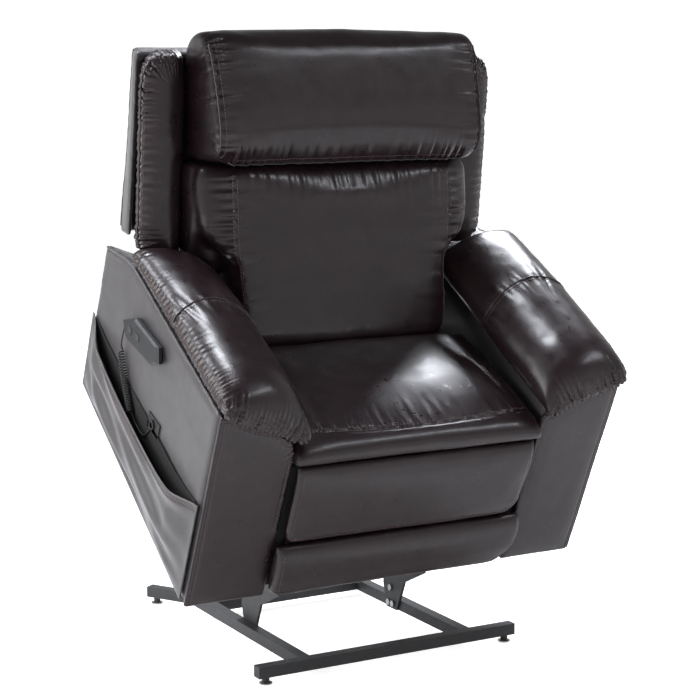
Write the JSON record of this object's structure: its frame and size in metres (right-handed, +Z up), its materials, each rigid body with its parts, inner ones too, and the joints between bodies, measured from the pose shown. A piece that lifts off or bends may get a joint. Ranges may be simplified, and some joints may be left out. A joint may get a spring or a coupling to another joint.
{
  "type": "lift recliner chair",
  "caption": "Upholstered power lift recliner that raises and tips its seat on a steel base, with reclining back, folding footrest, side pocket and wired hand control.",
  "frame": {"origin": "on the floor, at the centre of the chair's outline in its lifted rest pose", "axes": "+Z up, the sitter faces -Y, +X is the sitter's left"},
  "size_m": [0.983, 0.8953, 1.384],
  "materials": {
    "black_steel": "satin",
    "zinc_steel": "satin",
    "spring_steel": "satin",
    "polished_rod": "polished",
    "grey_tube": "satin",
    "nickel": "polished",
    "black_plastic": "satin",
    "handset_plastic": "satin",
    "button_rubber": "matte",
    "plywood": "matte",
    "leather": "satin",
    "side_leather": "satin"
  },
  "bodies": {
    "base": {"base_front_tube": "black_steel", "base_side_rails": "black_steel", "base_rear_legs": "black_steel", "base_rear_cross_tube": "black_steel", "tube_end_caps": "black_plastic", "glide_stems": "black_plastic", "glide_discs": "nickel", "lift_brackets": "black_steel", "base_pivot_bolts": "zinc_steel", "actuator_base_clevis": "black_steel", "lift_motor_housing": "black_plastic", "lift_actuator_tube": "grey_tube"},
    "lift_arm_set": {"lift_arms": "black_steel", "lift_torque_tube": "black_steel", "lift_crank": "black_steel"},
    "guide_link_set": {"guide_links": "black_steel"},
    "lift_rod": {"lift_actuator_rod": "polished_rod", "lift_rod_pin": "zinc_steel"},
    "carriage": {"carriage_side_plates": "black_steel", "recliner_side_plates": "black_steel", "carriage_cross_tubes": "black_steel", "carriage_pivot_bolts": "zinc_steel", "seat_box_frame": "plywood", "seat_springs": "spring_steel", "seat_cushion": "leather", "left_arm_box": "side_leather", "right_arm_box": "side_leather", "left_arm_front_panel": "leather", "right_arm_front_panel": "leather", "left_arm_pad": "leather", "right_arm_pad": "leather", "side_pocket": "side_leather", "coil_cord": "black_plastic", "cord_hook": "black_plastic", "hand_control_holster": "black_plastic", "recline_motor_housing": "black_plastic", "recline_actuator_tube": "grey_tube", "power_supply": "black_plastic"},
    "back": {"back_frame": "plywood", "back_hinge_levers": "black_steel", "back_hinge_tube": "zinc_steel", "recline_levers": "black_steel", "back_shell": "side_leather", "back_cushion": "leather", "headrest_cushion": "leather", "left_wing": "leather", "right_wing": "leather"},
    "recline_rod": {"recline_actuator_rod": "polished_rod", "recline_rod_pin": "zinc_steel"},
    "footrest_rear": {"footrest_rear_links": "black_steel", "footrest_tube": "zinc_steel", "footrest_knee_bolts": "zinc_steel"},
    "footrest_front": {"footrest_front_links": "black_steel"},
    "footrest": {"footrest_board": "plywood", "footrest_board_brackets": "black_steel", "footrest_upper_pad": "leather", "footrest_lower_pad": "leather"},
    "hand_control": {"hand_control_case": "handset_plastic"},
    "lift_button_cap": {"lift_button": "button_rubber"},
    "recline_button_cap": {"recline_button": "button_rubber"}
  },
  "joints": [
    {"name": "lift", "type": "hinge", "parent": "base", "child": "lift_arm_set", "pos_m": [0, -0.068, 0.182], "axis": [1, 0, 0], "range_deg": [-48.7, 0], "stiffness_Nm_per_rad": 2300},
    {"name": "guide_link_hinge", "type": "hinge", "parent": "base", "child": "guide_link_set", "pos_m": [0, -0.062, 0.149], "axis": [1, 0, 0], "range_deg": [-48.65, 0]},
    {"name": "carriage_tilt", "type": "hinge", "parent": "lift_arm_set", "child": "carriage", "pos_m": [0, 0.2686, 0.44754], "axis": [1, 0, 0], "range_deg": [0, 24.92]},
    {"name": "lift_rod_slide", "type": "slide", "parent": "base", "child": "lift_rod", "axis": [0, -0.8484, 0.5293], "range_m": [-0.07714, 0]},
    {"name": "back_recline", "type": "hinge", "parent": "carriage", "child": "back", "pos_m": [0, 0.18763, 0.68069], "axis": [-1, 0, 0], "range_deg": [0, 38], "stiffness_Nm_per_rad": 300},
    {"name": "recline_rod_slide", "type": "slide", "parent": "carriage", "child": "recline_rod", "axis": [0, 0.915, 0.4035], "range_m": [-0.06769, 0]},
    {"name": "footrest_open", "type": "hinge", "parent": "carriage", "child": "footrest_rear", "pos_m": [0, -0.16545, 0.45283], "axis": [-1, 0, 0], "range_deg": [0, 83.1], "stiffness_Nm_per_rad": 60},
    {"name": "footrest_knee", "type": "hinge", "parent": "footrest_rear", "child": "footrest_front", "pos_m": [0, -0.11157, 0.2603], "axis": [-1, 0, 0], "range_deg": [-115.35, 0]},
    {"name": "footrest_board_hinge", "type": "hinge", "parent": "footrest_front", "child": "footrest", "pos_m": [0, -0.2725, 0.36846], "axis": [-1, 0, 0], "range_deg": [0, 122.25]},
    {"name": "hand_control_lift_off", "type": "slide", "parent": "carriage", "child": "hand_control", "axis": [0, -0.4035, 0.915], "range_m": [0, 0.08]},
    {"name": "lift_button_press", "type": "slide", "parent": "hand_control", "child": "lift_button_cap", "axis": [1, 0, 0], "range_m": [0, 0.0012], "stiffness_N_per_m": 40},
    {"name": "recline_button_press", "type": "slide", "parent": "hand_control", "child": "recline_button_cap", "axis": [1, 0, 0], "range_m": [0, 0.0012], "stiffness_N_per_m": 40}
  ],
  "couplings": [
    {"joint": "guide_link_hinge", "follows": "lift", "ratio": 0.99795},
    {"joint": "carriage_tilt", "follows": "lift", "ratio": -0.51129},
    {"joint": "lift_rod_slide", "follows": "lift", "m_per_rad": 0.090516},
    {"joint": "recline_rod_slide", "follows": "back_recline", "m_per_rad": -0.10176},
    {"joint": "footrest_knee", "follows": "footrest_open", "ratio": -1.3875},
    {"joint": "footrest_board_hinge", "follows": "footrest_open", "ratio": 1.4705}
  ]
}
